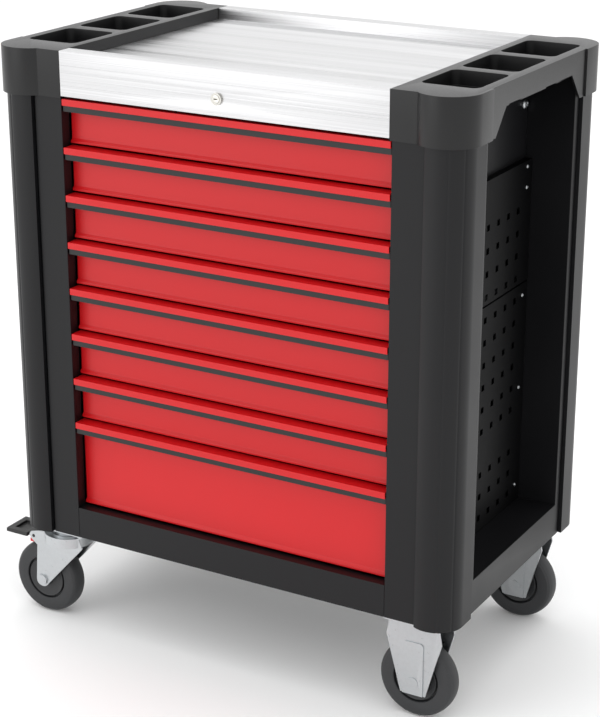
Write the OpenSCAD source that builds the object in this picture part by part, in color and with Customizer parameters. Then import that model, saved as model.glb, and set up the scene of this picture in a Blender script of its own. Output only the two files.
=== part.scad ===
// Rolling tool chest: a sheet steel cabinet with eight drawers on ball-bearing runners, a sunk steel
// worktop between two moulded trays, perforated side panels, and two fixed and two swivel casters.
// The origin lies on the floor under the middle of the whole chest; the drawers open towards -Y.

/* [Cabinet] */
// Width over the flat sides of the two trays
cab_w = 797; // [740:1:960]
// Depth over the flat front and back
cab_d = 477.5; // [400:0.5:600]
// Height of the steel fascia above the drawers
fascia_h = 68.7; // [64:0.1:90]
// Height of the bottom rail
rail_h = 53; // [40:0.5:80]
// Width of the flat front stile beside the drawers, as far as its groove
stile_w = 49.7; // [36:0.1:60]
// Wall of the folded steel sheet
sheet = 2; // [1.5:0.1:2.5]

/* [Drawers] */
// Height from one lip to the next on a shallow drawer
shallow_pitch = 75; // [62:1:110]
// Height from the lip of the deep drawer to the bottom rail
deep_pitch = 150; // [110:1:220]
// Depth of the pull flange from the lip back to the front panel
pull_depth = 23; // [18:1:34]
// Width that the telescopic runner takes up on each side of a drawer box
runner_w = 13; // [12.5:0.1:16]
// Height of the outer member of the runner
runner_h = 35; // [32:1:45]

/* [Side recess] */
// Depth of the side recess from the tray's flat side to the perforated panel
recess_depth = 74; // [60:1:90]
// Distance between the square tool holes, centre to centre
hole_pitch = 36.5; // [30:0.5:46]
// Side of a square tool hole
hole_side = 10; // [8:0.5:12]

/* [Trays] */
// Length of a pocket from front to back
pocket_l = 110; // [80:1:120]
// Depth of a pocket
pocket_depth = 38; // [30:1:40]

/* [Casters] */
// Diameter of a wheel
wheel_d = 125; // [100:1:150]
// Width of a wheel over its tread
wheel_w = 32; // [26:1:40]
// Height from the top of a wheel to the underside of the cabinet
wheel_gap = 40; // [38:1:60]
// Distance from a swivel caster's kingpin to its axle
trail = 43; // [30:1:45]
// Diameter of a wheel's axle
axle_d = 12; // [10:0.5:14]

/* [Hidden] */
shallow_count = 7;
drawer_count = shallow_count + 1;
// Gaps and running clearances
fascia_gap = 4.8;
drawer_gap = 3.5;
side_gap = 1.5;
seam = 0.4;
fit_gap = 0.5;
run_gap = 0.05;
// Cabinet heights, counted from the underside of the cabinet
caster_h = wheel_d + wheel_gap;
first_lip_z = rail_h + deep_pitch + shallow_count * shallow_pitch;
body_h = first_lip_z + fascia_gap + fascia_h;
skirt_h = fascia_h + 3.3;
tray_wall = 3;
pocket_wall = 2.5;
deck_z = body_h - pocket_depth - pocket_wall - 2;
// Corner of the cap and of the column beneath it, in plan; both bulge past the flat sides
corner_r = 48.2;
post_r = 42.3;
corner_in = 45;
corner_y = 34.8;
corner_bulge = corner_r - corner_in;
cap_step_y = 70;
post_set = 3.5;
post_y = 64;
post_wall = 2;
pan_t = sheet + 1;
groove = 2.5;
groove_deep = 4;
// Places across the cabinet, counted from its middle
corner_x = cab_w / 2 - corner_in;
post_x = corner_x - 20.5;
stile_out = post_x - groove;
open_half = stile_out - stile_w;
worktop_half = open_half - 2.5;
tray_in = worktop_half + fit_gap;
front_half = open_half - side_gap;
runner_out = open_half - 2.3;
box_half = runner_out - runner_w;
panel_x = cab_w / 2 - recess_depth;
panel_t = 1.5;
wall_x = panel_x - 12;
frame_x = cab_w / 2 - 8.5;
deck_in = box_half - 6;
// Places from the front plane backwards
side_stile_y = post_y + groove;
recess_y = side_stile_y + 14.5;
back_y = cab_d - post_set - groove_deep;
lip_y = 2.7;
panel_y = lip_y + pull_depth;
skin = 1.5;
box_t = 1;
box_y = panel_y + skin;
box_back = back_y - 22;
runner_y = box_y + 3;
// Drawer boxes and runners
box_rise = 3;
box_top_gap = 12;
runner_z = box_rise + 26;
lip_h = 10.3;
lip_return = 5;
grip_h = 9.6;
grip_t = 1.7;
grip_cap = 2;
hem = 3.8;
// Lock
lock_z = body_h - fascia_h + 25;
lock_r = 8;
plug_r = 6;
crank_r = 8;
crank_pin_r = 2.5;
crank_y = 20;
crank_t = 3;
crank_w = 5;
bar_drop = 2 * crank_r * sin(45);
pin_z = lock_z + crank_r * sin(45);
bar_x = [8, 28];
bar_y = box_back + 12;
bar_t = 4;
guide_gap = 0.3;
finger_x = [10, 26];
finger_t = 2.5;
finger_rise = 3.3;
finger_top = 15.4;
finger_in = [8, 5];
// Casters
wheel_r = wheel_d / 2;
axle_r = axle_d / 2;
caster_x = cab_w / 2 - 72;
caster_y = 37;
rear_caster_y = 63;
plate_l = 95;
plate_w = 62;
plate_t = 3;
bolt_x = 39;
bolt_y = 22;
crown_r = 42;
race_h = 6;
cheek_t = 3;
cheek_y = wheel_w / 2 + 4.7;
axle_z = -wheel_gap - wheel_r;
pedal_reach = 113;
pedal_w = 53;
pedal_pin = [-58, -25];
pedal_pin_r = 3;
// The pedals reach past the cabinet, so the cabinet stands this far to the right of the origin
cab_x = (caster_x + pedal_reach - cab_w / 2 - corner_bulge) / 2;

steel = "silver";
anthracite = [0.2, 0.2, 0.21];
red = [0.85, 0.12, 0.12];
black = [0.08, 0.08, 0.08];
zinc = [0.75, 0.76, 0.78];
galvanised = [0.62, 0.64, 0.66];

drawer_pieces = ["front", "grip", "box", "runner"];
function drawer_node(i, piece) = str("drawer_", i, "_", piece);

// Height of lip i above the underside of the cabinet; the one after the last is the bottom rail
function lip_z(i) = i > drawer_count ? rail_h : first_lip_z - (i - 1) * shallow_pitch;
function front_h(i) = lip_z(i) - lip_z(i + 1) - drawer_gap;
function box_z(i) = lip_z(i + 1) + drawer_gap + box_rise;

// Frames and mirrors
module in_cabinet() translate([cab_x, -cab_d / 2, caster_h]) children();
module both_sides() {
    children();
    mirror([1, 0, 0]) children();
}
module to_back() translate([0, cab_d, 0]) mirror([0, 1, 0]) children();
module both_ends() {
    children();
    to_back() children();
}

// Flat shapes and straight extrusions between two places
module rect(a, b) translate(a) square(b - a);
module block(a, b) translate(a) cube(b - a);
module along_x(x0, x1) translate([x0, 0, 0]) rotate([90, 0, 90]) linear_extrude(x1 - x0) children();
module along_y(y0, y1) translate([0, y1, 0]) rotate([90, 0, 0]) linear_extrude(y1 - y0) children();
module along_z(z0, z1) translate([0, 0, z0]) linear_extrude(z1 - z0) children();
module round_rect(a, b, r) {
    rect([a.x + r, a.y], [b.x - r, b.y]);
    rect([a.x, a.y + r], [b.x, b.y - r]);
    for (x = [a.x + r, b.x - r], y = [a.y + r, b.y - r]) translate([x, y]) circle(r, $fn = 48);
}
module pin_y(r, y0, y1) translate([0, y1, 0]) rotate([90, 0, 0]) cylinder(r = r, h = y1 - y0, $fn = 48);
module hex_y(r, y0, y1) translate([0, y1, 0]) rotate([90, 0, 0]) cylinder(r = r, h = y1 - y0, $fn = 6);

// Corner columns: a closed tube whose outer corner is round, with a foot plate
module post_outline(inset) {
    side_x = corner_x + post_r - inset;
    rect([post_x + inset, corner_y], [side_x, post_y - inset]);
    intersection() {
        translate([corner_x, corner_y]) circle(post_r - inset, $fn = 96);
        rect([post_x + inset, corner_y - post_r], [side_x, corner_y]);
    }
}
module corner_post() color(anthracite) in_cabinet() {
    difference() {
        along_z(0, deck_z) post_outline(0);
        along_z(pan_t, deck_z + 1) post_outline(post_wall);
    }
}
module post_front_right() corner_post();
module post_front_left() color(anthracite) mirrored_x() corner_post();
module post_rear_right() color(anthracite) mirror([0, 1, 0]) corner_post();
module post_rear_left() color(anthracite) mirrored_x() mirror([0, 1, 0]) corner_post();
module mirrored_x() translate([2 * cab_x, 0, 0]) mirror([1, 0, 0]) children();

// Front frame: two stiles and the bottom rail, each folded from sheet, with a fine seam between
module front_frame() color(anthracite) in_cabinet() {
    both_sides() {
        along_z(0, deck_z) {
            rect([open_half, post_set], [stile_out, post_set + sheet]);
            rect([stile_out - sheet, post_set], [stile_out, post_set + groove_deep + sheet]);
            rect([stile_out - sheet, post_set + groove_deep], [post_x, post_set + groove_deep + sheet]);
        }
        along_z(pan_t, deck_z) rect([open_half, post_set], [open_half + sheet, post_set + 20]);
    }
    along_x(seam - open_half, open_half - seam) {
        rect([post_set, 0], [post_set + sheet, rail_h]);
        rect([post_set, rail_h - sheet], [post_set + 20, rail_h]);
    }
}

// Side frames: the flat surround of a side recess, its two cheeks and its sill
module side_frames() color(anthracite) in_cabinet() both_sides() {
    both_ends() {
        along_z(0, deck_z) {
            rect([frame_x - sheet, side_stile_y], [frame_x, recess_y]);
            rect([frame_x - groove_deep - sheet, side_stile_y], [frame_x, side_stile_y + sheet]);
            rect([frame_x - groove_deep - sheet, post_y], [frame_x - groove_deep, side_stile_y + sheet]);
        }
        along_z(pan_t, deck_z) rect([wall_x, recess_y - sheet], [frame_x, recess_y]);
    }
    along_y(recess_y - sheet, cab_d - recess_y + sheet) {
        rect([frame_x - sheet, 0], [frame_x, rail_h + sheet]);
        rect([wall_x, rail_h], [frame_x, rail_h + sheet]);
    }
}

// Floor pan: a flat plate between the columns and frames, which carries the casters
module floor_pan() color(anthracite) in_cabinet() along_z(0, pan_t) {
    rect([-post_x, post_set + groove_deep + sheet], [post_x, back_y]);
    rect([sheet - frame_x, side_stile_y + sheet], [frame_x - sheet, cab_d - side_stile_y - sheet]);
}

// Side wall with its two runner uprights and the deck flange that carries the worktop and tray
upright_w = 30;
upright_in = 34;
module side_wall() {
    along_z(pan_t, deck_z) rect([wall_x - panel_t, post_set + 20], [wall_x, back_y]);
    along_y(post_set + 20, back_y) rect([deck_in, deck_z - panel_t], [wall_x, deck_z]);
    both_ends() along_z(pan_t, deck_z - panel_t) {
        rect([runner_out, upright_in], [runner_out + panel_t, upright_in + upright_w]);
        rect([runner_out, upright_in], [wall_x - panel_t, upright_in + panel_t]);
        rect([runner_out, upright_in + upright_w - panel_t], [wall_x - panel_t, upright_in + upright_w]);
    }
}
module side_walls() color(anthracite) in_cabinet() both_sides() side_wall();

// Back wall, with the two pairs of guides that the lock bar slides between
guide_z = [150, 600];
guide_t = 3;
guide_h = 20;
module back_wall() color(anthracite) in_cabinet() {
    along_y(back_y, back_y + sheet) rect([-post_x, 0], [post_x, deck_z]);
    for (z = guide_z) {
        block([bar_x[0] - guide_t, bar_y - 1, z], [bar_x[0] - guide_gap, back_y, z + guide_h]);
        block([bar_x[1] + guide_gap, bar_y - 1, z], [bar_x[1] + guide_t, back_y, z + guide_h]);
    }
}

// Worktop: one folded steel sheet with a fascia, a raised front and rear rim and a sunk field
front_rim = 26;
rear_rim = 30;
field_drop = 18;
module worktop() color(steel) in_cabinet() difference() {
    union() {
        along_x(-worktop_half, worktop_half) {
            rect([0, body_h - fascia_h], [skin, body_h]);
            rect([0, body_h - skin], [front_rim, body_h]);
            rect([front_rim - skin, body_h - field_drop - skin], [front_rim, body_h]);
            rect([front_rim - skin, body_h - field_drop - skin],
                [cab_d - rear_rim + skin, body_h - field_drop]);
            rect([cab_d - rear_rim, body_h - field_drop - skin], [cab_d - rear_rim + skin, body_h]);
            rect([cab_d - rear_rim, body_h - skin], [cab_d, body_h]);
            rect([cab_d - skin, body_h - fascia_h], [cab_d, body_h]);
        }
        both_sides() along_x(worktop_half - skin, worktop_half)
            rect([front_rim, deck_z], [cab_d - rear_rim, body_h - field_drop]);
    }
    translate([0, 0, lock_z]) pin_y(lock_r + run_gap, -1, skin + 1);
}

// Side trays: a moulded cap over the columns with three pockets and an arch over the side recess
pocket_front = 58;
pocket_in = 14.5;
pocket_out = 16;
pocket_r = 12;
ledge = 3;
ledge_z = 22;
arch_foot = 89.5;
arch_chamfer = 4;
arch_head = 120.5;
arch_h = 31.6;
pocket_rear = 45;
function pocket_step() = (cab_d - pocket_front - pocket_rear - pocket_l) / 2;
module tray_plan(inset) {
    rect([tray_in + inset, inset], [corner_x, cab_d - inset]);
    rect([corner_x, corner_y], [cab_w / 2 - inset, cab_d - corner_y]);
    for (end = [0, 1]) translate([0, end * cab_d]) mirror([0, end]) {
        translate([corner_x, corner_y]) circle(corner_r - inset, $fn = 120);
        rect([corner_x, corner_y], [corner_x + corner_r - inset, cap_step_y - inset]);
    }
}
module pocket_plan(k, grow) {
    y0 = pocket_front + k * pocket_step();
    lo = [tray_in + pocket_in - grow, y0 - grow];
    hi = [cab_w / 2 - pocket_out + grow, y0 + pocket_l + grow];
    round_rect(lo, hi, pocket_r + grow);
}
module tray() {
    base_z = body_h - skirt_h;
    difference() {
        along_z(base_z, body_h) tray_plan(0);
        difference() {
            along_z(base_z - 1, body_h - tray_wall) tray_plan(tray_wall);
            for (k = [0:2]) along_z(body_h - pocket_depth - pocket_wall, body_h) pocket_plan(k, pocket_wall);
        }
        for (k = [0:2]) {
            along_z(body_h - ledge_z, body_h + 1) pocket_plan(k, 0);
            along_z(body_h - pocket_depth, body_h) pocket_plan(k, -ledge);
        }
        block([tray_in - 1, tray_wall, base_z - 1], [wall_x + 1, cab_d - tray_wall, deck_z]);
        along_x(cab_w / 2 - tray_wall - 1, cab_w / 2 + corner_bulge + 1) polygon([
            [arch_foot - arch_chamfer, base_z - 1], [arch_foot, base_z + arch_chamfer],
            [arch_head, body_h - arch_h], [cab_d - arch_head, body_h - arch_h],
            [cab_d - arch_foot, base_z + arch_chamfer], [cab_d - arch_foot + arch_chamfer, base_z - 1]]);
    }
}
module tray_right() color(anthracite) in_cabinet() tray();
module tray_left() color(anthracite) in_cabinet() mirror([1, 0, 0]) tray();

// Perforated panels: a lower and an upper plate on each side, with edges folded back to the side wall
lower_top = 429;
upper_low = 432;
upper_top = 627;
edge_margin = 40;
first_row = 26;
lower_rows = [for (k = [0:8]) k + (k > 2 ? 1 : 0)];
module pegboard(z0, z1, rows, first_z) {
    y0 = recess_y + fit_gap;
    y1 = cab_d - recess_y - fit_gap;
    columns = floor((y1 - y0 - 2 * edge_margin) / hole_pitch);
    difference() {
        union() {
            block([panel_x - panel_t, y0, z0], [panel_x, y1, z1]);
            block([wall_x, y0, z0], [panel_x, y0 + panel_t, z1]);
            block([wall_x, y1 - panel_t, z0], [panel_x, y1, z1]);
            block([wall_x, y0, z1 - panel_t], [panel_x, y1, z1]);
        }
        for (row = rows, c = [0:columns])
            translate([panel_x, cab_d / 2 + (c - columns / 2) * hole_pitch, first_z + row * hole_pitch])
                cube([4 * panel_t, hole_side, hole_side], center = true);
    }
}
module pegboards() color(black) in_cabinet() both_sides() {
    pegboard(rail_h + sheet + fit_gap, lower_top, lower_rows, rail_h + first_row);
    pegboard(upper_low, upper_top, [0:3], upper_low + 12);
}

// Telescopic runners: three nested channels, seen from the front as C sections open to the drawer
runner_t = 1.5;
ball_gap = 1.1;
module channel(x0, x1, half_h, y0, y1) {
    along_y(y0, y1) {
        rect([x1 - runner_t, -half_h], [x1, half_h]);
        rect([x0, half_h - runner_t], [x1, half_h]);
        rect([x0, -half_h], [x1, runner_t - half_h]);
    }
}
mid_half = runner_h / 2 - runner_t - ball_gap;
inner_half = mid_half - runner_t - ball_gap;
module at_runner(i) translate([0, 0, box_z(i) - box_rise + runner_z]) children();
module cabinet_runners() color(galvanised) in_cabinet() for (i = [1:drawer_count])
    at_runner(i) both_sides() channel(runner_out - 9, runner_out, runner_h / 2, runner_y, box_back);
module drawer_runner(i) color(galvanised) in_cabinet() at_runner(i) both_sides()
    channel(box_half + 4, runner_out - 2.6, mid_half, runner_y, box_back);

// Drawer front: a folded panel whose top is a pull flange ending in a short lip
module drawer_front(i) color(red) in_cabinet() translate([0, 0, lip_z(i)]) {
    low = -front_h(i);
    along_x(-front_half, front_half) {
        rect([lip_y, -lip_h], [lip_y + skin, 0]);
        rect([lip_y, -skin], [box_y, 0]);
        rect([lip_y, -lip_h], [lip_y + lip_return, skin - lip_h]);
        polygon([
            [panel_y, 0], [box_y, 0], [box_y, low + 2 * hem], [box_y - hem, low + hem],
            [box_y - hem, low], [panel_y - hem, low], [panel_y - hem, low + hem], [panel_y, low + 2 * hem]]);
    }
}

// Grip: a moulded strip clipped behind the lip, with a cap that closes each end of the pull
module drawer_grip(i) color(black) in_cabinet() translate([0, 0, lip_z(i)]) {
    low = -lip_h - grip_h;
    strip_y = lip_y + lip_return;
    along_x(-front_half, front_half) {
        rect([strip_y - grip_t, low], [strip_y + skin, -lip_h]);
        rect([strip_y, low], [strip_y + skin, -2 * skin]);
    }
    both_sides() along_x(front_half - grip_cap, front_half) rect([strip_y, low], [panel_y, -skin]);
}

// Drawer box with the inner member of each runner
module drawer_box(i) color(galvanised) in_cabinet() {
    z0 = box_z(i);
    z1 = lip_z(i) - box_top_gap;
    difference() {
        block([-box_half, box_y, z0], [box_half, box_back, z1]);
        block([box_t - box_half, box_y + box_t, z0 + box_t], [box_half - box_t, box_back - box_t, z1 + 1]);
    }
    at_runner(i) both_sides() along_y(runner_y, box_back) {
        rect([box_half, -inner_half], [box_half + runner_t, inner_half]);
        rect([box_half, inner_half - runner_t], [runner_out - 4.6, inner_half]);
        rect([box_half, -inner_half], [runner_out - 4.6, runner_t - inner_half]);
    }
}

// Lock: a barrel with its nut, a plug with a crank, and the bar that the crank lowers
collar_t = 2.5;
barrel_l = 18;
nut_r = 13;
key_slot = [7, 1.6, 4];
head_wall = 6;
slot_h = 3.3;
arm_x = [22, 26];
arm_h = 10;
module at_lock() in_cabinet() translate([0, 0, lock_z]) children();
module lock_barrel() color(zinc) at_lock() {
    difference() {
        union() {
            pin_y(lock_r + 1, -collar_t, 0);
            pin_y(lock_r, -1, barrel_l);
        }
        pin_y(plug_r + run_gap, -collar_t - 1, barrel_l + 1);
    }
    difference() {
        hex_y(nut_r, skin, 3 * skin);
        pin_y(lock_r + run_gap, 0, 4 * skin);
    }
}
module lock_plug() color(zinc) at_lock() {
    face_y = -collar_t - fit_gap;
    difference() {
        pin_y(plug_r, face_y, crank_y + 1);
        translate([0, face_y, 0]) cube([key_slot.x, 2 * key_slot.z, key_slot.y], center = true);
    }
    rotate([0, -45, 0]) {
        block([-crank_w, crank_y, -crank_w], [crank_r + crank_w - 1, crank_y + crank_t, crank_w]);
        translate([crank_r, 0, 0]) pin_y(crank_pin_r, crank_y + 2, crank_y + crank_t + 7);
    }
}
module lock_bar() color(zinc) in_cabinet() {
    head_y = crank_y + crank_t + 1;
    slot_in = crank_r * cos(45) - crank_pin_r - fit_gap;
    slot_out = crank_r + crank_pin_r + fit_gap;
    head_z = crank_pin_r + head_wall;
    difference() {
        block([0, head_y, pin_z - head_z], [bar_x[1], head_y + crank_t, pin_z + head_z]);
        translate([0, 0, pin_z]) block([slot_in, 0, -slot_h], [slot_out, 2 * head_y, slot_h]);
    }
    block([arm_x[0], head_y, pin_z - arm_h / 2], [arm_x[1], bar_y + bar_t, pin_z + arm_h / 2]);
    block([bar_x[0], bar_y, box_z(drawer_count)], [bar_x[1], bar_y + bar_t, pin_z + arm_h / 2]);
}
// Lock fingers: a bent bracket on the bar for each drawer, whose tip drops in front of the box's back
module lock_fingers() color(galvanised) in_cabinet() for (i = [1:drawer_count])
    translate([0, 0, lip_z(i) - box_top_gap]) along_x(finger_x[0], finger_x[1]) {
        rect([box_back - finger_in[0], finger_top - finger_t], [bar_y, finger_top]);
        rect([box_back - finger_in[0], finger_rise], [box_back - finger_in[1], finger_top]);
        rect([bar_y - finger_t, finger_rise], [bar_y, finger_top]);
    }

// Casters, each drawn about the point where its middle meets the underside of the cabinet
module at_caster(side, rear) in_cabinet()
    translate([side * caster_x, rear ? cab_d - rear_caster_y : caster_y, 0]) children();
module caster_plate() {
    difference() {
        block([-plate_l / 2, -plate_w / 2, -plate_t], [plate_l / 2, plate_w / 2, 0]);
        for (x = [-bolt_x, bolt_x], y = [-bolt_y, bolt_y])
            translate([x, y, -plate_t - 1]) cylinder(r = 3.2, h = plate_t + 2, $fn = 32);
    }
    for (x = [-bolt_x, bolt_x], y = [-bolt_y, bolt_y]) translate([x, y, 0]) {
        translate([0, 0, -plate_t - 4]) cylinder(r = 5.5, h = 4, $fn = 6);
        translate([0, 0, -plate_t]) cylinder(r = 3, h = plate_t, $fn = 32);
    }
}
module axle() {
    end_y = cheek_y + cheek_t;
    pin_y(axle_r, -end_y, end_y + 9);
    pin_y(axle_r + 3.5, -end_y - 3.5, -end_y);
    difference() {
        hex_y(axle_r + 4.5, end_y, end_y + 7);
        pin_y(axle_r, end_y - 1, end_y + 8);
    }
}
module cheek_pair() both_cheeks() along_y(cheek_y, cheek_y + cheek_t) children();
module both_cheeks() {
    children();
    mirror([0, 1, 0]) children();
}
module cut_bore(x, z, r) difference() {
    children();
    translate([x, 0, z]) pin_y(r, -cheek_y - 2 * cheek_t, cheek_y + 2 * cheek_t);
}
module fixed_fork() {
    foot_z = axle_z - 20;
    press_t = 2;
    press_r = 6;
    press_x = 17;
    press_z = -34;
    cut_bore(0, axle_z, axle_r + run_gap) {
        cheek_pair() polygon([
            [-41, -plate_t], [41, -plate_t], [46, -30], [21, foot_z], [-21, foot_z], [-46, -30]]);
        both_cheeks() along_y(cheek_y + cheek_t, cheek_y + cheek_t + press_t) {
            rect([-press_x, foot_z], [press_x, press_z - press_r]);
            rect([press_r - press_x, press_z - press_r], [press_x - press_r, press_z]);
            for (x = [-1, 1])
                translate([x * (press_x - press_r), press_z - press_r]) circle(press_r, $fn = 48);
        }
    }
    caster_plate();
    translate([0, 0, axle_z]) axle();
}
module fixed_forks() color(zinc) {
    at_caster(1, false) fixed_fork();
    at_caster(1, true) fixed_fork();
}
module swivel_plate() {
    head_z = -plate_t - race_h - 19;
    caster_plate();
    translate([0, 0, -plate_t - race_h]) cylinder(r = 30, h = race_h, $fn = 96);
    translate([0, 0, head_z - 5]) cylinder(r = 6, h = 20 + race_h, $fn = 48);
    translate([0, 0, head_z - 5]) cylinder(r = 10, h = 5, $fn = 6);
}
module swivel_plates() color(zinc) {
    at_caster(-1, false) swivel_plate();
    at_caster(-1, true) swivel_plate();
}
module swivel_fork() {
    top_z = -plate_t - race_h - 0.3;
    low_z = top_z - 17;
    eye_r = 12.5;
    difference() {
        translate([0, 0, low_z]) cylinder(r = crown_r, h = top_z - low_z, $fn = 96);
        translate([0, 0, low_z - 1]) cylinder(r = crown_r - 3, h = top_z - low_z - 2, $fn = 96);
        translate([0, 0, low_z - 1]) cylinder(r = 6 + run_gap, h = 20, $fn = 48);
    }
    cut_bore(-trail, axle_z, axle_r + run_gap) cut_bore(pedal_pin.x, pedal_pin.y, pedal_pin_r + run_gap)
        cheek_pair() {
            polygon([
                [-36, top_z - 3], [36, top_z - 3], [41, -28], [9 - trail, axle_z - 8], [-trail, axle_z],
                [-eye_r - trail, axle_z], [-51, -40], [-64, -30], [-67, -25], [-64, -19], [-50, top_z - 6]]);
            translate([-trail, axle_z]) circle(eye_r, $fn = 64);
        }
    translate([-trail, 0, axle_z]) axle();
}
module swivel_fork_front() color(zinc) at_caster(-1, false) swivel_fork();
module swivel_fork_rear() color(zinc) at_caster(-1, true) swivel_fork();

// Brake pedal: a plate with a sunk field, whose neck turns on pins in the ears of the fork's cheeks
module brake_pedal() {
    top_z = -21.6;
    low_z = top_z - 6.9;
    body_x = -70;
    neck_x = -48;
    neck_half = cheek_y - 0.8;
    field_rim = 11;
    field_deep = 4.5;
    shoe_z = -39.5;
    difference() {
        block([-pedal_reach, -pedal_w / 2, low_z], [body_x, pedal_w / 2, top_z]);
        block([field_rim - pedal_reach, field_rim - pedal_w / 2, top_z - field_deep],
            [body_x - field_rim / 2, pedal_w / 2 - field_rim, top_z + 1]);
    }
    block([body_x, -neck_half, low_z], [neck_x, neck_half, top_z]);
    block([body_x, -neck_half / 2, shoe_z], [body_x + 8, neck_half / 2, low_z]);
    translate([pedal_pin.x, 0, pedal_pin.y]) both_cheeks()
        pin_y(pedal_pin_r, neck_half - 1, cheek_y + cheek_t + fit_gap);
}
module brake_pedal_front() color(black) at_caster(-1, false) brake_pedal();
module brake_pedal_rear() color(black) at_caster(-1, true) brake_pedal();

// Wheel: a tyre with rounded shoulders on a dished hub that turns on the axle
module wheel_section() {
    shoulder = 7;
    half = wheel_w / 2;
    for (side = [-1, 1]) translate([wheel_r - shoulder, side * (half - shoulder)]) circle(shoulder, $fn = 48);
    rect([wheel_r - 24, -half], [wheel_r - shoulder, half]);
    rect([wheel_r - shoulder - 1, shoulder - half], [wheel_r, half - shoulder]);
    rect([axle_r + run_gap, 4 - half], [wheel_r - 20, half - 4]);
    rect([axle_r + run_gap, 0.3 - cheek_y], [axle_r + 8, cheek_y - 0.3]);
}
module wheel(side, rear) color(black) at_caster(side, rear)
    translate([side < 0 ? -trail : 0, 0, axle_z]) rotate([90, 0, 0])
        rotate_extrude($fn = 120) wheel_section();
module wheel_front_left() wheel(-1, false);
module wheel_front_right() wheel(1, false);
module wheel_rear_left() wheel(-1, true);
module wheel_rear_right() wheel(1, true);

for (i = [1:drawer_count]) {
    drawer_front(i);
    drawer_grip(i);
    drawer_box(i);
    drawer_runner(i);
}
floor_pan();
front_frame();
side_frames();
side_walls();
back_wall();
post_front_left();
post_front_right();
post_rear_left();
post_rear_right();
worktop();
tray_left();
tray_right();
pegboards();
cabinet_runners();
lock_barrel();
lock_plug();
lock_bar();
lock_fingers();
swivel_plates();
fixed_forks();
swivel_fork_front();
swivel_fork_rear();
brake_pedal_front();
brake_pedal_rear();
wheel_front_left();
wheel_front_right();
wheel_rear_left();
wheel_rear_right();
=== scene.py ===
import math

import bmesh
import bpy
from mathutils import Matrix, Vector


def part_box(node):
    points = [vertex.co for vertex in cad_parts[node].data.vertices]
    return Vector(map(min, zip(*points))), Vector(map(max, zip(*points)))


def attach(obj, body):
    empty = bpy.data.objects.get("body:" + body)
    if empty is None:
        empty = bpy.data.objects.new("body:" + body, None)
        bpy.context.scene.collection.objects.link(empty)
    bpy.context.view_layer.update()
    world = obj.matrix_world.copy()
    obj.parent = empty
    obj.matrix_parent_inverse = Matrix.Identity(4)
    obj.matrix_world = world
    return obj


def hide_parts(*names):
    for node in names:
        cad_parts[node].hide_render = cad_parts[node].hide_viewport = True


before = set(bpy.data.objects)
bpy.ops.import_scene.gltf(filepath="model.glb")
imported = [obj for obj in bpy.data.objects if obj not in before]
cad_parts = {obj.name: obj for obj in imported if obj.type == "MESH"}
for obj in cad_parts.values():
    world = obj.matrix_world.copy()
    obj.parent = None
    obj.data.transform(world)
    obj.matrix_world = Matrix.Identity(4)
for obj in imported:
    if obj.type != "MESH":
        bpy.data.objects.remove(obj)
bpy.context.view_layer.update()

# ------------------------------------------------------------------------------------------------
# Studio: a seamless sweep of white card in a bright white tent, with a wide soft box overhead, a
# weaker one in front to the left and a low one that lifts the fascia. The camera is at eye height.
MM = 0.001
CAMERA_PLACE = Vector((1.4531, -2.4908, 1.4883))
CAMERA_AZIMUTH = math.radians(29.93)
CAMERA_ELEVATION = math.radians(19.8)
CAMERA_LENS = 94.73
CAMERA_REACH = 50


def linear(hex_colour):
    """An sRGB hex colour as the linear red, green, blue and alpha that a shader takes."""
    values = [int(hex_colour[i:i + 2], 16) / 255 for i in (1, 3, 5)]
    return [v / 12.92 if v <= 0.04045 else ((v + 0.055) / 1.055) ** 2.4 for v in values] + [1.0]


def add_node(tree, kind, links=None, **settings):
    """Adds a node. Settings are the node's own; links gives an input a value or another's output."""
    node = tree.nodes.new(kind)
    for name, value in settings.items():
        setattr(node, name, value)
    for socket, value in (links or {}).items():
        if isinstance(value, bpy.types.NodeSocket):
            tree.links.new(value, node.inputs[socket])
        else:
            node.inputs[socket].default_value = value
    return node


def new_material(name):
    """An empty material and its node tree."""
    material = bpy.data.materials.new(name)
    material.use_nodes = True
    material.node_tree.nodes.clear()
    return material, material.node_tree


def link_object(name, data):
    """Puts an object at the origin of the scene."""
    obj = bpy.data.objects.new(name, data)
    bpy.context.scene.collection.objects.link(obj)
    return obj


def facing(place, direction):
    """The matrix of a camera or light at a place that looks along a direction."""
    turn = direction.to_track_quat("-Z", "Y").to_matrix().to_4x4()
    return Matrix.Translation(place) @ turn


away = Vector((
    -math.sin(CAMERA_AZIMUTH) * math.cos(CAMERA_ELEVATION),
    math.cos(CAMERA_AZIMUTH) * math.cos(CAMERA_ELEVATION),
    -math.sin(CAMERA_ELEVATION)))
camera = link_object("camera", bpy.data.cameras.new("camera"))
camera.data.lens = CAMERA_LENS
camera.data.clip_end = CAMERA_REACH
camera.matrix_world = facing(CAMERA_PLACE, away)
bpy.context.scene.camera = camera

CHEST_MIDDLE = Vector((0, 0, 0.5))
SOFT_BOXES = {
    "overhead_box": ((-0.3, 0.2, 3.4), 3.4, 3.0, 34),
    "front_box": ((-2.4, -3.6, 2.2), 2.4, 2.6, 22),
    "low_front_box": ((-2.0, -3.7, 0.8), 3.0, 1.2, 8),
}
for name, (place, width, height, power) in SOFT_BOXES.items():
    light = link_object(name, bpy.data.lights.new(name, "AREA"))
    light.data.shape = "RECTANGLE"
    light.data.size = width
    light.data.size_y = height
    light.data.energy = power
    light.matrix_world = facing(Vector(place), CHEST_MIDDLE - Vector(place))

TENT_STRENGTH = 1.12
sky = bpy.data.worlds.new("studio_air")
sky.use_nodes = True
sky.node_tree.nodes["Background"].inputs["Color"].default_value = linear("#FFFFFF")
sky.node_tree.nodes["Background"].inputs["Strength"].default_value = TENT_STRENGTH
bpy.context.scene.world = sky
bpy.context.scene.view_settings.view_transform = "Standard"

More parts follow.
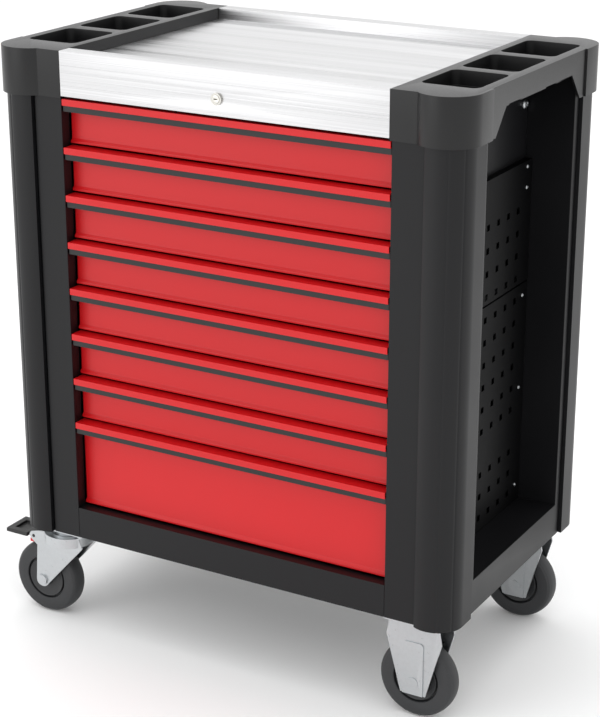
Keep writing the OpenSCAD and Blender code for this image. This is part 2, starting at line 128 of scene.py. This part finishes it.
card, tree = new_material("matt white card")
surface = add_node(tree, "ShaderNodeBsdfPrincipled", {"Base Color": linear("#FDFDFD"), "Roughness": 0.9})
fibres = add_node(tree, "ShaderNodeTexNoise", {"Scale": 400.0, "Detail": 3.0})
relief = add_node(tree, "ShaderNodeBump", {"Height": fibres.outputs["Fac"], "Distance": 0.2 * MM})
tree.links.new(relief.outputs["Normal"], surface.inputs["Normal"])
add_node(tree, "ShaderNodeOutputMaterial", {"Surface": surface.outputs["BSDF"]})
CARD_HALF = 14
corners = [(x * CARD_HALF, y * CARD_HALF, 0) for x, y in [(-1, -1), (1, -1), (1, 1), (-1, 1)]]
floor_mesh = bpy.data.meshes.new("floor")
floor_mesh.from_pydata(corners, [], [(0, 1, 2, 3)])
floor_mesh.materials.append(card)
floor = link_object("floor", floor_mesh)

# ------------------------------------------------------------------------------------------------
# Carcass: frames, walls and floor pan folded from 2 mm steel sheet, spot welded, then powder
# coated in one colour. Every folded or cut edge is slightly round under the coating.
SHARP = math.radians(24)
FOLD = math.radians(40)
SHEET_EDGE = 0.6


def powder_coat(name, colour, roughness, speck=0.06, peel_mm=1.4, relief_mm=0.02, sheen=0.5):
    """Powder coat: polymer powder melted onto steel. It gives a satin skin with fine orange peel."""
    material, tree = new_material(name)
    place = add_node(tree, "ShaderNodeTexCoord").outputs["Object"]
    peel = add_node(tree, "ShaderNodeTexNoise", {
        "Vector": place, "Scale": 1 / (peel_mm * MM), "Detail": 2.0, "Roughness": 0.55})
    drift = add_node(tree, "ShaderNodeTexNoise", {"Vector": place, "Scale": 5.0, "Detail": 3.0})
    mixed = add_node(tree, "ShaderNodeMath", {
        0: peel.outputs["Fac"], 1: drift.outputs["Fac"]}, operation="ADD")
    shade = add_node(tree, "ShaderNodeMapRange", {
        "Value": mixed.outputs[0], "From Min": 0.6, "From Max": 1.4,
        "To Min": 1 - speck, "To Max": 1 + speck})
    paint = add_node(tree, "ShaderNodeVectorMath", {0: linear(colour)[:3], "Scale": shade.outputs[0]},
                     operation="SCALE")
    gloss = add_node(tree, "ShaderNodeMapRange", {
        "Value": drift.outputs["Fac"], "From Min": 0.3, "From Max": 0.7,
        "To Min": roughness - 0.03, "To Max": roughness + 0.04})
    relief = add_node(tree, "ShaderNodeBump", {
        "Height": peel.outputs["Fac"], "Strength": 0.6, "Distance": relief_mm * MM})
    surface = add_node(tree, "ShaderNodeBsdfPrincipled", {
        "Base Color": paint.outputs[0], "Roughness": gloss.outputs[0], "Normal": relief.outputs["Normal"],
        "IOR": 1.5, "Specular IOR Level": sheen})
    add_node(tree, "ShaderNodeOutputMaterial", {"Surface": surface.outputs["BSDF"]})
    return material


def merged_copy(node):
    """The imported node's shape as one mesh, with its loose triangles merged back into flat faces."""
    mesh = bpy.data.meshes.new(node)
    shape = bmesh.new()
    shape.from_mesh(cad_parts[node].data)
    bmesh.ops.remove_doubles(shape, verts=shape.verts, dist=0.004 * MM)
    bmesh.ops.dissolve_limit(shape, angle_limit=math.radians(0.5), verts=shape.verts, edges=shape.edges)
    shape.to_mesh(mesh)
    shape.free()
    mesh.materials.clear()
    return mesh


def smooth_faces(mesh):
    """Curved faces shade smooth, and edges sharper than a facet of a curve stay crisp."""
    mesh.polygons.foreach_set("use_smooth", [True] * len(mesh.polygons))
    mesh.set_sharp_from_angle(angle=SHARP)
    return mesh


def applied(obj):
    """Turns an object's modifiers into its mesh, and removes them."""
    graph = bpy.context.evaluated_depsgraph_get()
    mesh = bpy.data.meshes.new_from_object(obj.evaluated_get(graph))
    obj.modifiers.clear()
    obj.data = smooth_faces(mesh)
    return obj


def rounded(node, name, radius_mm, steps=2):
    """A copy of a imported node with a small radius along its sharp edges."""
    piece = link_object(name, merged_copy(node))
    bevel = piece.modifiers.new("edge radius", "BEVEL")
    bevel.width = radius_mm * MM
    bevel.segments = steps
    bevel.limit_method = "ANGLE"
    bevel.angle_limit = FOLD
    return applied(piece)


def dress(piece, material, body, slot, *replaced):
    """Gives a finished piece its material and body, and hides the nodes it stands for. Slot is not used.
    """
    piece.data.materials.clear()
    piece.data.materials.append(material)
    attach(piece, body)
    if replaced:
        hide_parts(*replaced)


anthracite = powder_coat("anthracite powder coat", "#101012", 0.4, sheen=0.28)
CARCASS = ["floor_pan", "front_frame", "side_frames", "side_walls", "back_wall"]
for node in CARCASS:
    dress(rounded(node, node + "_sheet", SHEET_EDGE), anthracite, "cabinet", "body_enamel", node)

# ------------------------------------------------------------------------------------------------
# Corner columns: steel tube rolled to a broad round corner that bulges past the flat sides, with two
# shallow creases that stiffen it. They stand on the floor pan and run up inside the trays' caps.
COLUMN_RADIUS = 42.3 * MM
CREASE_DEPTH = 0.8 * MM
CREASE_WIDTH = math.radians(5)
CREASES = [math.radians(24), math.radians(57)]
ARC_STEPS = 90


def column_outline(start):
    """Plan of the front right column from its inner edge round to its side, from the arc's centre."""
    points = []
    for step in range(ARC_STEPS + 1):
        turn = start + (math.pi / 2 - start) * step / ARC_STEPS
        nearest = min(abs(turn - crease) for crease in CREASES)
        dip = CREASE_DEPTH * max(0, 1 - nearest / CREASE_WIDTH) ** 2
        reach = COLUMN_RADIUS - dip
        points.append((reach * math.sin(turn), -reach * math.cos(turn)))
    return points


def prism(name, outline, low, high):
    """A closed solid with a plan outline, given clockwise or anticlockwise, between two heights."""
    shape = bmesh.new()
    base = shape.faces.new([shape.verts.new((x, y, low)) for x, y in outline])
    grown = bmesh.ops.extrude_face_region(shape, geom=[base])
    top = [g for g in grown["geom"] if isinstance(g, bmesh.types.BMVert)]
    bmesh.ops.translate(shape, verts=top, vec=(0, 0, high - low))
    bmesh.ops.recalc_face_normals(shape, faces=shape.faces)
    mesh = bpy.data.meshes.new(name)
    shape.to_mesh(mesh)
    shape.free()
    return link_object(name, mesh)


for node in ["post_front_left", "post_front_right", "post_rear_left", "post_rear_right"]:
    low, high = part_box(node)
    across = 1 if node.endswith("right") else -1
    behind = -1 if "rear" in node else 1
    outer_x = high.x if across > 0 else low.x
    inner_x = low.x if across > 0 else high.x
    front_y = low.y if behind > 0 else high.y
    rear_y = high.y if behind > 0 else low.y
    centre_x = outer_x - across * COLUMN_RADIUS
    centre_y = front_y + behind * COLUMN_RADIUS
    start = math.asin(abs(inner_x - centre_x) / -COLUMN_RADIUS)
    outline = [(centre_x + across * x, centre_y + behind * y) for x, y in column_outline(start)]
    outline += [(outer_x, rear_y), (inner_x, rear_y)]
    column = prism(node + "_tube", outline, low.z, high.z)
    smooth_faces(column.data)
    dress(column, anthracite, "cabinet", "body_enamel", node)

# ------------------------------------------------------------------------------------------------
# Perforated panels: thin punched sheet, powder coated black, screwed to the side walls. They stay
# as they are packed, because the punched holes are already there.
black_coat = powder_coat("black powder coat", "#060607", 0.5, speck=0.1, sheen=0.1)


def finish_as_packed(node, material):
    """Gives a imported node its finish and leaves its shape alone."""
    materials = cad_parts[node].data.materials
    materials.clear()
    materials.append(material)


finish_as_packed("pegboards", black_coat)


def repeat_on_points(name, places, shape, material, turn=(0.0, 0.0, 0.0)):
    """Copies one small shape onto each place with geometry nodes, and gives one plain mesh."""
    tree = bpy.data.node_groups.new(name, "GeometryNodeTree")
    inputs = [("Places", "Geometry"), ("Shape", "Object"), ("Turn", "Rotation"), ("Finish", "Material")]
    for label, kind in inputs:
        tree.interface.new_socket(label, in_out="INPUT", socket_type="NodeSocket" + kind)
    tree.interface.new_socket("Pieces", in_out="OUTPUT", socket_type="NodeSocketGeometry")
    given = add_node(tree, "NodeGroupInput")
    source = add_node(tree, "GeometryNodeObjectInfo", {"Object": given.outputs["Shape"]})
    copies = add_node(tree, "GeometryNodeInstanceOnPoints", {
        "Points": given.outputs["Places"], "Instance": source.outputs["Geometry"],
        "Rotation": given.outputs["Turn"]})
    real = add_node(tree, "GeometryNodeRealizeInstances", {"Geometry": copies.outputs["Instances"]})
    finished = add_node(tree, "GeometryNodeSetMaterial", {
        "Geometry": real.outputs["Geometry"], "Material": given.outputs["Finish"]})
    add_node(tree, "NodeGroupOutput", {"Pieces": finished.outputs["Geometry"]})
    mesh = bpy.data.meshes.new(name)
    mesh.from_pydata([tuple(place) for place in places], [], [])
    obj = link_object(name, mesh)
    modifier = obj.modifiers.new("repeat", "NODES")
    modifier.node_group = tree
    sockets = {s.name: s.identifier for s in tree.interface.items_tree if s.in_out == "INPUT"}
    modifier[sockets["Shape"]] = shape
    modifier[sockets["Turn"]] = turn
    modifier[sockets["Finish"]] = material
    applied(obj)
    bpy.data.objects.remove(shape)
    return obj


def turned(name, profile, steps=48, centre=(0, 0, 0), axis="Z"):
    """A solid of revolution: profile points are (radius, height along the axis), closed at both ends."""
    shape = bmesh.new()
    rings = []
    for radius, along in profile:
        if radius < 1e-7:
            rings.append([shape.verts.new((0, 0, along))])
        else:
            ring = [(radius * math.cos(t), radius * math.sin(t), along)
                    for t in (2 * math.pi * k / steps for k in range(steps))]
            rings.append([shape.verts.new(point) for point in ring])
    closed = profile[0] == profile[-1]
    if closed:
        for vert in rings.pop():
            shape.verts.remove(vert)
    pairs = list(zip(rings, rings[1:] + rings[:1])) if closed else list(zip(rings, rings[1:]))
    for first, second in pairs:
        for k in range(steps):
            corners = [first[k % len(first)], first[(k + 1) % len(first)],
                       second[(k + 1) % len(second)], second[k % len(second)]]
            face = list(dict.fromkeys(corners))
            if len(face) > 2:
                shape.faces.new(face)
    bmesh.ops.recalc_face_normals(shape, faces=shape.faces)
    if axis == "Y":
        bmesh.ops.rotate(shape, verts=shape.verts, matrix=Matrix.Rotation(math.pi / 2, 3, "X"))
    bmesh.ops.translate(shape, verts=shape.verts, vec=centre)
    mesh = bpy.data.meshes.new(name)
    shape.to_mesh(mesh)
    shape.free()
    return link_object(name, smooth_faces(mesh))


def plated_steel(name, colour, roughness, spangle_mm=6.0):
    """Bright plating over steel: a pale metal with a faint cloudy bloom and fine scratches."""
    material, tree = new_material(name)
    place = add_node(tree, "ShaderNodeTexCoord").outputs["Object"]
    cloud = add_node(tree, "ShaderNodeTexNoise", {
        "Vector": place, "Scale": 1 / (spangle_mm * MM), "Detail": 5.0, "Roughness": 0.6})
    grain = add_node(tree, "ShaderNodeTexNoise", {"Vector": place, "Scale": 1400.0, "Detail": 2.0})
    shade = add_node(tree, "ShaderNodeMapRange", {
        "Value": cloud.outputs["Fac"], "From Min": 0.3, "From Max": 0.7, "To Min": 0.97, "To Max": 1.03})
    metal = add_node(tree, "ShaderNodeVectorMath", {0: linear(colour)[:3], "Scale": shade.outputs[0]},
                     operation="SCALE")
    gloss = add_node(tree, "ShaderNodeMapRange", {
        "Value": cloud.outputs["Fac"], "From Min": 0.3, "From Max": 0.7,
        "To Min": roughness - 0.03, "To Max": roughness + 0.04})
    relief = add_node(tree, "ShaderNodeBump", {
        "Height": grain.outputs["Fac"], "Strength": 0.3, "Distance": 0.004 * MM})
    surface = add_node(tree, "ShaderNodeBsdfPrincipled", {
        "Base Color": metal.outputs[0], "Metallic": 1.0, "Roughness": gloss.outputs[0],
        "Normal": relief.outputs["Normal"]})
    add_node(tree, "ShaderNodeOutputMaterial", {"Surface": surface.outputs["BSDF"]})
    return material


zinc = plated_steel("bright zinc plate", "#BCBFC1", 0.3)
SCREW_HEAD = [(0, 0), (3.2, 0), (3.2, 0.6), (2.6, 1.5), (1.5, 1.9), (1.2, 0.9), (0, 0.9)]


def screw_head(name, size=1.0):
    """A low domed head with a round driver recess, drawn about its seat."""
    return turned(name, [(r * MM * size, h * MM * size) for r, h in SCREW_HEAD], steps=16)


panel_low, panel_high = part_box("pegboards")
EDGE_IN = 19 * MM
PANEL_SCREW_HEIGHTS = [0.25, 0.42, 0.575, 0.750, 0.783]
BOLT_DEPTH = 12 * MM
BOLT_IN = 12 * MM
BOLT_HEIGHT = 0.878
BOLT_SIZE = 2.4
TO_RIGHT = (0.0, math.pi / 2, 0.0)
TO_LEFT = (0.0, -math.pi / 2, 0.0)
for side, x, turn in [("left", panel_low.x, TO_LEFT), ("right", panel_high.x, TO_RIGHT)]:
    rows = [panel_low.y + EDGE_IN, panel_high.y - EDGE_IN]
    places = [(x, y, z) for y in rows for z in PANEL_SCREW_HEIGHTS]
    screws = repeat_on_points("panel_screws_" + side, places, screw_head("head"), zinc, turn)
    dress(screws, zinc, "cabinet", "caster_zinc")
    wall_x = x + (BOLT_DEPTH if side == "left" else -BOLT_DEPTH)
    bolt_rows = [panel_low.y + BOLT_IN, panel_high.y - BOLT_IN]
    bolts = repeat_on_points("wall_bolts_" + side, [(wall_x, y, BOLT_HEIGHT) for y in bolt_rows],
                             screw_head("head", BOLT_SIZE), zinc, turn)
    dress(bolts, zinc, "cabinet", "caster_zinc")

# ------------------------------------------------------------------------------------------------
# Side trays: one injection moulding a side, in fine-grained plastic. Three pockets lie between two
# caps that slip over the corner columns; the edges are as round as a moulding's.


def moulded_plastic(name, colour, roughness, grain_mm=0.9, relief_mm=0.03, speck=0.08, sheen=0.5):
    """Moulded plastic with a spark-eroded grain, which breaks its shine into a soft sheen."""
    material, tree = new_material(name)
    place = add_node(tree, "ShaderNodeTexCoord").outputs["Object"]
    grain = add_node(tree, "ShaderNodeTexVoronoi", {"Vector": place, "Scale": 1 / (grain_mm * MM)})
    drift = add_node(tree, "ShaderNodeTexNoise", {"Vector": place, "Scale": 9.0, "Detail": 4.0})
    shade = add_node(tree, "ShaderNodeMapRange", {
        "Value": drift.outputs["Fac"], "From Min": 0.3, "From Max": 0.7,
        "To Min": 1 - speck, "To Max": 1 + speck})
    tint = add_node(tree, "ShaderNodeVectorMath", {0: linear(colour)[:3], "Scale": shade.outputs[0]},
                    operation="SCALE")
    gloss = add_node(tree, "ShaderNodeMapRange", {
        "Value": grain.outputs["Distance"], "From Min": 0.0, "From Max": 0.8,
        "To Min": roughness - 0.05, "To Max": roughness + 0.05})
    relief = add_node(tree, "ShaderNodeBump", {
        "Height": grain.outputs["Distance"], "Strength": 0.5, "Distance": relief_mm * MM})
    surface = add_node(tree, "ShaderNodeBsdfPrincipled", {
        "Base Color": tint.outputs[0], "Roughness": gloss.outputs[0], "Normal": relief.outputs["Normal"],
        "IOR": 1.52, "Specular IOR Level": sheen})
    add_node(tree, "ShaderNodeOutputMaterial", {"Surface": surface.outputs["BSDF"]})
    return material


tray_plastic = moulded_plastic("grained ABS", "#101011", 0.33, sheen=0.36)
RIM_RADIUS = 6
RIM_STEPS = 5
INNER_SHARE = 0.25
CAP_DEPTH = 55 * MM
RIM_REACH = 12 * MM
WORKTOP_REACH = 2 * MM


def moulded_tray(node, name):
    """A copy of a tray whose outer rim has a broad radius, and its other edges a small one."""
    low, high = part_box(node)
    outer_x, inner_x = (high.x, low.x) if high.x > -low.x else (low.x, high.x)
    mesh = merged_copy(node)
    shape = bmesh.new()
    shape.from_mesh(mesh)
    weight = shape.edges.layers.float.new("bevel_weight_edge")
    for edge in shape.edges:
        if edge.calc_face_angle(0) < FOLD:
            continue
        middle = (edge.verts[0].co + edge.verts[1].co) / 2
        on_top = all(high.z - vert.co.z < 0.1 * MM for vert in edge.verts)
        at_end = min(middle.y - low.y, high.y - middle.y) < CAP_DEPTH
        at_side = abs(middle.x - outer_x) < RIM_REACH
        at_worktop = abs(middle.x - inner_x) < WORKTOP_REACH
        edge[weight] = 1.0 if on_top and (at_end or at_side) and not at_worktop else INNER_SHARE
    shape.to_mesh(mesh)
    shape.free()
    piece = link_object(name, mesh)
    bevel = piece.modifiers.new("edge radius", "BEVEL")
    bevel.width = RIM_RADIUS * MM
    bevel.segments = RIM_STEPS
    bevel.limit_method = "WEIGHT"
    return applied(piece)


for node in ["tray_left", "tray_right"]:
    dress(moulded_tray(node, node + "_moulding"), tray_plastic, "cabinet", "tray_plastic", node)

# ------------------------------------------------------------------------------------------------
# Worktop: one sheet of stainless steel, brushed from side to side on a belt before it is folded
# into the fascia, the raised rims and the sunk field. The folds leave a small radius.


def brushed_steel(name, colour, roughness, streak_mm=0.8):
    """Belt-brushed stainless: long fine scratches along X, which smear reflections across them."""
    material, tree = new_material(name)
    place = add_node(tree, "ShaderNodeTexCoord").outputs["Object"]
    across = 1 / streak_mm / MM
    fine = add_node(tree, "ShaderNodeMapping", {"Vector": place, "Scale": (2.0, across, across)})
    broad = add_node(tree, "ShaderNodeMapping", {"Vector": place, "Scale": (0.5, 34.0, 34.0)})
    scratches = add_node(tree, "ShaderNodeTexNoise", {
        "Vector": fine.outputs[0], "Scale": 1.0, "Detail": 4.0})
    bands = add_node(tree, "ShaderNodeTexNoise", {
        "Vector": broad.outputs[0], "Scale": 1.0, "Detail": 5.0})
    both = add_node(tree, "ShaderNodeMath", {
        0: scratches.outputs["Fac"], 1: bands.outputs["Fac"]}, operation="ADD")
    shade = add_node(tree, "ShaderNodeMapRange", {
        "Value": both.outputs[0], "From Min": 0.75, "From Max": 1.25, "To Min": 0.78, "To Max": 1.06})
    metal = add_node(tree, "ShaderNodeVectorMath", {0: linear(colour)[:3], "Scale": shade.outputs[0]},
                     operation="SCALE")
    gloss = add_node(tree, "ShaderNodeMapRange", {
        "Value": both.outputs[0], "From Min": 0.7, "From Max": 1.3,
        "To Min": roughness - 0.08, "To Max": roughness + 0.1})
    relief = add_node(tree, "ShaderNodeBump", {
        "Height": scratches.outputs["Fac"], "Strength": 0.5, "Distance": 0.03 * MM})
    surface = add_node(tree, "ShaderNodeBsdfPrincipled", {
        "Base Color": metal.outputs[0], "Metallic": 1.0, "Roughness": gloss.outputs[0],
        "Normal": relief.outputs["Normal"]})
    add_node(tree, "ShaderNodeOutputMaterial", {"Surface": surface.outputs["BSDF"]})
    return material


stainless = brushed_steel("brushed stainless steel", "#DADADB", 0.32)
WORKTOP_FOLD = 1.2
worktop = rounded("worktop", "worktop_sheet", WORKTOP_FOLD, steps=3)
dress(worktop, stainless, "cabinet", "stainless_steel", "worktop")

# ------------------------------------------------------------------------------------------------
# Drawers: a red front folded from sheet, with a pull flange and lip; a black moulded grip clipped
# behind the lip; a dark box of folded sheet behind it; and a ribbed rubber mat laid in the box.
DRAWERS = range(1, 9)
red_coat = powder_coat("red powder coat", "#C60E15", 0.36, speck=0.03, relief_mm=0.015, sheen=0.4)
box_coat = powder_coat("dark grey powder coat", "#17181A", 0.5)
grip_plastic = moulded_plastic("black polypropylene", "#141414", 0.55)
mat_rubber = moulded_plastic("ribbed nitrile rubber", "#161617", 0.75, grain_mm=1.2)
MAT_MARGIN = 4 * MM
MAT_THICK = 1.2 * MM
RIB_PITCH = 5 * MM
RIB_WIDTH = 2.2 * MM
RIB_HEIGHT = 0.8 * MM


def ribbed_mat(name, low, high):
    """A flat sheet with ribs across it, made by geometry nodes as a line of bars on a slab."""
    tree = bpy.data.node_groups.new(name, "GeometryNodeTree")
    inputs = [("Width", "Float"), ("Depth", "Float"), ("Thickness", "Float"), ("Rib width", "Float"),
              ("Rib height", "Float"), ("Rib count", "Int"), ("Finish", "Material")]
    for label, kind in inputs:
        tree.interface.new_socket(label, in_out="INPUT", socket_type="NodeSocket" + kind)
    tree.interface.new_socket("Mat", in_out="OUTPUT", socket_type="NodeSocketGeometry")
    given = add_node(tree, "NodeGroupInput").outputs
    slab_size = add_node(tree, "ShaderNodeCombineXYZ", {
        "X": given["Width"], "Y": given["Depth"], "Z": given["Thickness"]})
    slab = add_node(tree, "GeometryNodeMeshCube", {"Size": slab_size.outputs[0]})
    rib_size = add_node(tree, "ShaderNodeCombineXYZ", {
        "X": given["Width"], "Y": given["Rib width"], "Z": given["Rib height"]})
    rib = add_node(tree, "GeometryNodeMeshCube", {"Size": rib_size.outputs[0]})
    edge = add_node(tree, "ShaderNodeMath", {
        0: given["Depth"], 1: given["Rib width"]}, operation="SUBTRACT")
    front = add_node(tree, "ShaderNodeMath", {0: edge.outputs[0], 1: -0.5}, operation="MULTIPLY")
    rear = add_node(tree, "ShaderNodeMath", {0: edge.outputs[0], 1: 0.5}, operation="MULTIPLY")
    lift = add_node(tree, "ShaderNodeMath", {
        0: given["Thickness"], 1: given["Rib height"]}, operation="ADD")
    middle = add_node(tree, "ShaderNodeMath", {0: lift.outputs[0], 1: 0.5}, operation="MULTIPLY")
    start = add_node(tree, "ShaderNodeCombineXYZ", {"Y": front.outputs[0], "Z": middle.outputs[0]})
    end = add_node(tree, "ShaderNodeCombineXYZ", {"Y": rear.outputs[0], "Z": middle.outputs[0]})
    line = add_node(tree, "GeometryNodeMeshLine", {
        "Count": given["Rib count"], "Start Location": start.outputs[0], "Offset": end.outputs[0]},
        mode="END_POINTS")
    ribs = add_node(tree, "GeometryNodeInstanceOnPoints", {
        "Points": line.outputs["Mesh"], "Instance": rib.outputs["Mesh"]})
    joined = add_node(tree, "GeometryNodeJoinGeometry")
    tree.links.new(slab.outputs["Mesh"], joined.inputs["Geometry"])
    tree.links.new(ribs.outputs["Instances"], joined.inputs["Geometry"])
    real = add_node(tree, "GeometryNodeRealizeInstances", {"Geometry": joined.outputs["Geometry"]})
    finished = add_node(tree, "GeometryNodeSetMaterial", {
        "Geometry": real.outputs["Geometry"], "Material": given["Finish"]})
    add_node(tree, "NodeGroupOutput", {"Mat": finished.outputs["Geometry"]})
    mat = link_object(name, bpy.data.meshes.new(name))
    modifier = mat.modifiers.new("ribs", "NODES")
    modifier.node_group = tree
    width, depth = high.x - low.x, high.y - low.y
    values = {"Width": width, "Depth": depth, "Thickness": MAT_THICK, "Rib width": RIB_WIDTH,
              "Rib height": RIB_HEIGHT, "Rib count": round(depth / RIB_PITCH), "Finish": mat_rubber}
    for item in tree.interface.items_tree:
        if item.in_out == "INPUT":
            modifier[item.identifier] = values[item.name]
    applied(mat)
    middle = ((low.x + high.x) / 2, (low.y + high.y) / 2, low.z + MAT_THICK / 2)
    mat.data.transform(Matrix.Translation(middle))
    return mat


FRONT_FOLD = 0.7
GRIP_EDGE = 0.5
BOX_SHEET = 1.0 * MM
FRONT_OVERLAP = 15 * MM
for number in DRAWERS:
    body = f"drawer_{number}"
    front = rounded(f"drawer_{number}_front", f"drawer_{number}_front_sheet", FRONT_FOLD)
    dress(front, red_coat, body, "drawer_front_enamel", f"drawer_{number}_front")
    grip = rounded(f"drawer_{number}_grip", f"drawer_{number}_grip_strip", GRIP_EDGE)
    dress(grip, grip_plastic, body, "grip_plastic", f"drawer_{number}_grip")
    finish_as_packed(f"drawer_{number}_box", box_coat)
    runner_low, runner_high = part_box(f"drawer_{number}_runner")
    front_low, front_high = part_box(f"drawer_{number}_front")
    box_low, box_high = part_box(f"drawer_{number}_box")
    inside = front_high.x - FRONT_OVERLAP - MAT_MARGIN
    centre_x = (front_low.x + front_high.x) / 2
    mat_front = front_high.y + BOX_SHEET + MAT_MARGIN
    mat_low = Vector((2 * centre_x - inside, mat_front, box_low.z + BOX_SHEET))
    mat_high = Vector((inside, runner_high.y - BOX_SHEET - MAT_MARGIN, 0))
    mat = ribbed_mat(f"drawer_{number}_mat", mat_low, mat_high)
    dress(mat, mat_rubber, body, "grip_plastic")

# ------------------------------------------------------------------------------------------------
# Runners: cold-rolled steel channels, zinc plated. The outer ones are riveted to the uprights, and
# the middle ones run between them and the drawers.
runner_zinc = plated_steel("rolled zinc plate", "#B9BCC0", 0.36, spangle_mm=9)
for node in ["cabinet_runners"] + [f"drawer_{number}_runner" for number in DRAWERS]:
    finish_as_packed(node, runner_zinc)

# ------------------------------------------------------------------------------------------------
# Lock: a nickel-plated brass barrel held in the fascia by a nut, with a plug that the key turns.
# The bar behind it and its fingers are plated strip, like the runners.
nickel = plated_steel("nickel plate", "#C6C4BE", 0.18, spangle_mm=3)
BARREL_EDGE = 0.4
PLUG_EDGE = 0.2
barrel = rounded("lock_barrel", "lock_barrel_turned", BARREL_EDGE)
dress(barrel, nickel, "cabinet", "lock_chrome", "lock_barrel")
plug = rounded("lock_plug", "lock_plug_turned", PLUG_EDGE)
dress(plug, nickel, "lock_plug", "lock_chrome", "lock_plug")
for node in ["lock_bar", "lock_fingers"]:
    finish_as_packed(node, runner_zinc)

# ------------------------------------------------------------------------------------------------
# Casters: pressed steel plates and forks, zinc plated bright. Two are fixed; two swivel on a race
# and carry a black brake pedal with a red release tab.
PRESSING_EDGE = 0.7
for node, body in [("swivel_plates", "cabinet"), ("fixed_forks", "cabinet"),
                   ("swivel_fork_front", "swivel_front"), ("swivel_fork_rear", "swivel_rear")]:
    dress(rounded(node, node + "_pressing", PRESSING_EDGE), zinc, body, "caster_zinc", node)
pedal_plastic = moulded_plastic("black nylon", "#141415", 0.45)
release_red = moulded_plastic("red nylon", "#C4141C", 0.4)
PEDAL_EDGE = 1.2
TAB_EDGE = 0.8
TAB_LOW = Vector((42, 10, -19.4)) * MM
TAB_HIGH = Vector((50, 13.4, -6.9)) * MM
for end in ["front", "rear"]:
    node = f"brake_pedal_{end}"
    pedal = rounded(node, node + "_moulding", PEDAL_EDGE)
    dress(pedal, pedal_plastic, f"brake_{end}", "pedal_plastic", node)
    low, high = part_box(node)
    start = Vector((low.x, low.y, high.z)) + TAB_LOW
    stop = Vector((low.x, low.y, high.z)) + TAB_HIGH
    corners = [(start.x, start.y), (stop.x, start.y), (stop.x, stop.y), (start.x, stop.y)]
    tab = prism(f"brake_release_{end}", corners, start.z, stop.z)
    bevel = tab.modifiers.new("edge radius", "BEVEL")
    bevel.width = TAB_EDGE * MM
    bevel.segments = 2
    dress(applied(tab), release_red, f"brake_{end}", "pedal_plastic")

# ------------------------------------------------------------------------------------------------
# Wheels: a grey-black elastic rubber tyre, bonded to a black plastic hub with a dished face. The
# tyre's tread is slightly crowned, and a ring groove parts it from the hub.
tyre_rubber = moulded_plastic("elastic rubber", "#27282A", 0.55, grain_mm=1.6, speck=0.1)
hub_plastic = moulded_plastic("glass-filled polyamide", "#222325", 0.5)
TYRE = [(37, -10), (37.2, -14), (38, -15), (45, -15.8), (52, -16), (56, -15.4), (59.4, -13),
        (61.4, -9.5), (62.2, -5), (62.5, 0), (62.2, 5), (61.4, 9.5), (59.4, 13), (56, 15.4), (52, 16),
        (45, 15.8), (38, 15), (37.2, 14), (37, 10), (37, -10)]
HUB = [(6.05, -20.4), (12, -20.4), (13, -19.4), (14, -13.6), (17, -12.9), (30, -13.4), (33.2, -14.4),
       (34, -13.6), (34.2, -8), (37, -8), (37, 8), (34.2, 8), (34, 13.6), (33.2, 14.4), (30, 13.4),
       (17, 12.9), (14, 13.6), (13, 19.4), (12, 20.4), (6.05, 20.4), (6.05, -20.4)]
TYRE_STEPS = 96
HUB_STEPS = 72
for wheel in ["front_left", "front_right", "rear_left", "rear_right"]:
    low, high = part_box(f"wheel_{wheel}")
    centre = (low + high) / 2
    tyre = turned(f"tyre_{wheel}", [(r * MM, w * MM) for r, w in TYRE], TYRE_STEPS, centre, "Y")
    hub = turned(f"hub_{wheel}", [(r * MM, w * MM) for r, w in HUB], HUB_STEPS, centre, "Y")
    dress(tyre, tyre_rubber, f"wheel_{wheel}", "wheel_rubber", f"wheel_{wheel}")
    dress(hub, hub_plastic, f"wheel_{wheel}", "wheel_rubber")
